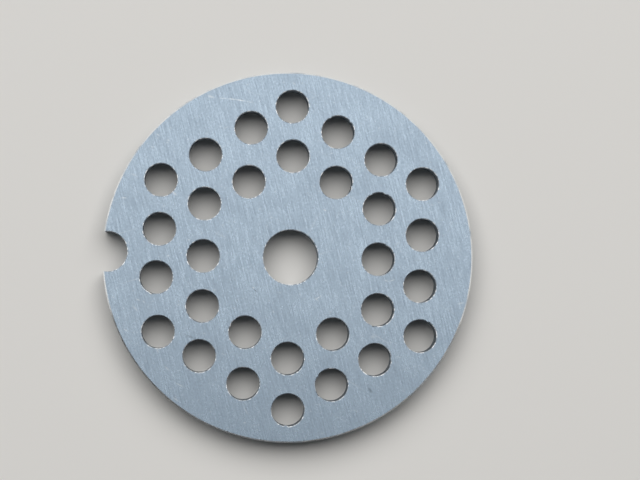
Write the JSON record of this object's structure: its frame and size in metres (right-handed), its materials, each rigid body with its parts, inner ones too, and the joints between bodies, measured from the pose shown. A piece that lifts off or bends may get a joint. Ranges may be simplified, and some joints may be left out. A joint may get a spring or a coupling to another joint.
{
  "type": "meat grinder plate",
  "caption": "Perforated steel disc for a table meat grinder, with a central bore for the feed screw's pin and a key slot in its rim.",
  "frame": {"origin": "on the axis of the central bore, in the plate's lower face", "axes": "+Z along the bore's axis, up through the plate; the key slot opens towards -X"},
  "size_m": [0.0539, 0.054, 0.004],
  "materials": {
    "ground_steel": "flat faces ground with fine straight lines, lightly scratched"
  },
  "bodies": {
    "root": {"grinder_plate": "ground_steel"}
  },
  "joints": []
}
